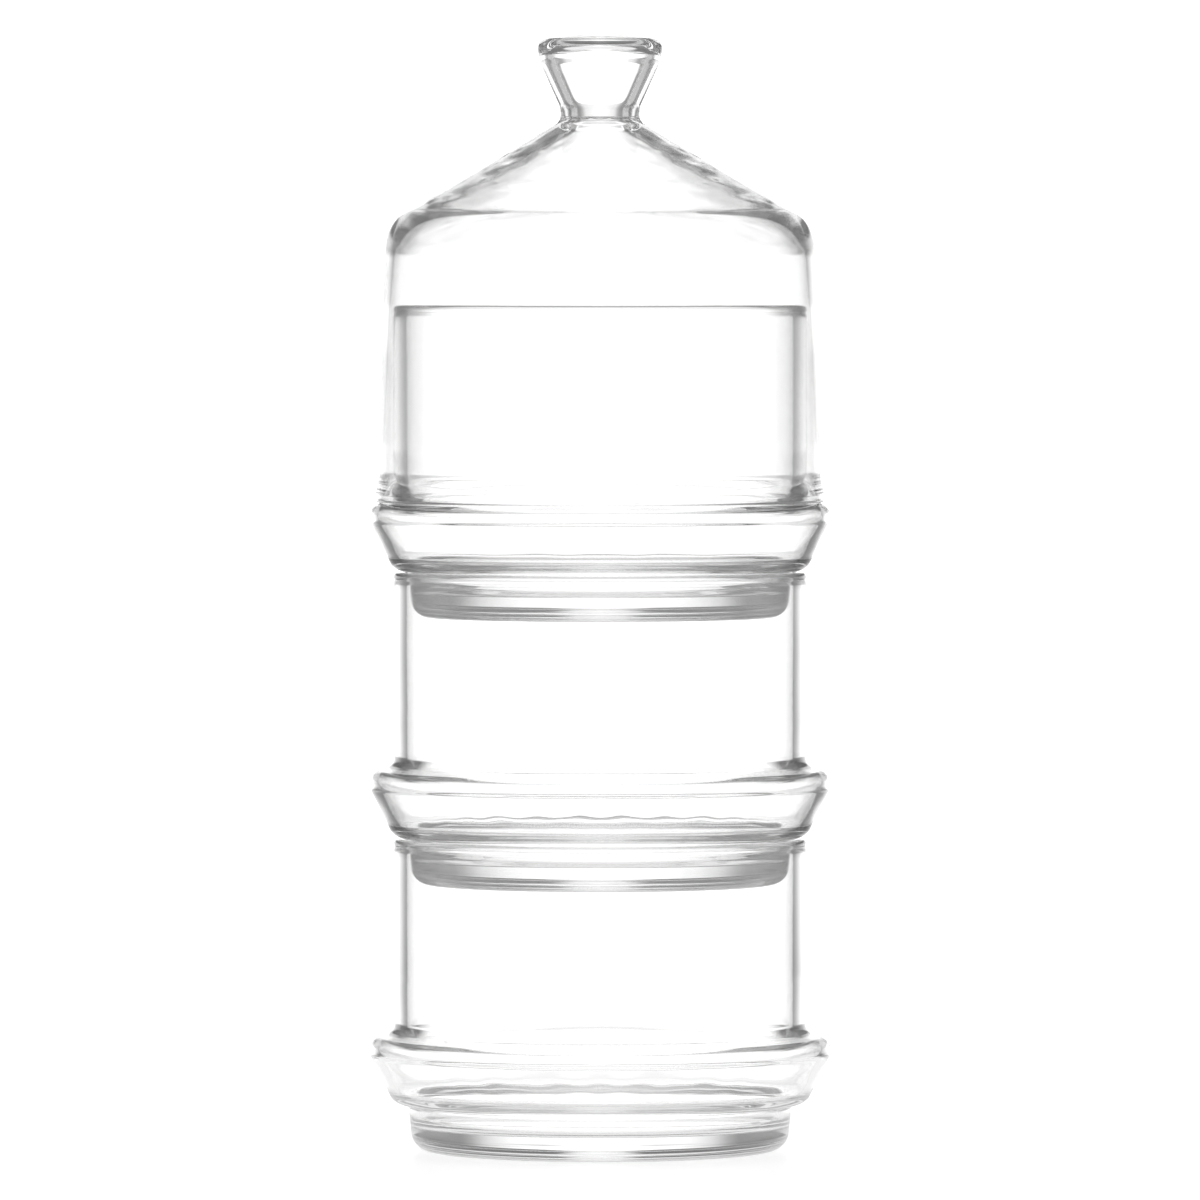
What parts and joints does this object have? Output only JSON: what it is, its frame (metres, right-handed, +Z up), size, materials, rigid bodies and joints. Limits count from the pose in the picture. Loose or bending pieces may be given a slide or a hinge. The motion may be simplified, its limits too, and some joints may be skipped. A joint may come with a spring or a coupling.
{
  "type": "stacking glass jar set with bell lid",
  "caption": "Round clear-glass jars that nest by the foot, each on the rim of the one below, under a bell-shaped glass lid with a hollow knob.",
  "frame": {"origin": "centre of the standing ring of the bottom jar, on the surface it stands on", "axes": "+Z up along the common axis of the jars and the lid; the pieces are round, so +X and +Y are free"},
  "size_m": [0.1112, 0.1112, 0.2679],
  "materials": {
    "clear_glass": "clear, smooth, fire-polished"
  },
  "bodies": {
    "bottom_jar": {"bottom_jar": "clear_glass"},
    "middle_jar": {"middle_jar": "clear_glass"},
    "top_jar": {"top_jar": "clear_glass"},
    "lid": {"lid": "clear_glass"}
  },
  "joints": [
    {"name": "middle_jar_lift", "type": "slide", "parent": "bottom_jar", "child": "middle_jar", "axis": [0, 0, 1], "range_m": [0, 0.07]},
    {"name": "top_jar_lift", "type": "slide", "parent": "middle_jar", "child": "top_jar", "axis": [0, 0, 1], "range_m": [0, 0.07]},
    {"name": "lid_lift", "type": "slide", "parent": "top_jar", "child": "lid", "axis": [0, 0, 1], "range_m": [0, 0.08]}
  ]
}
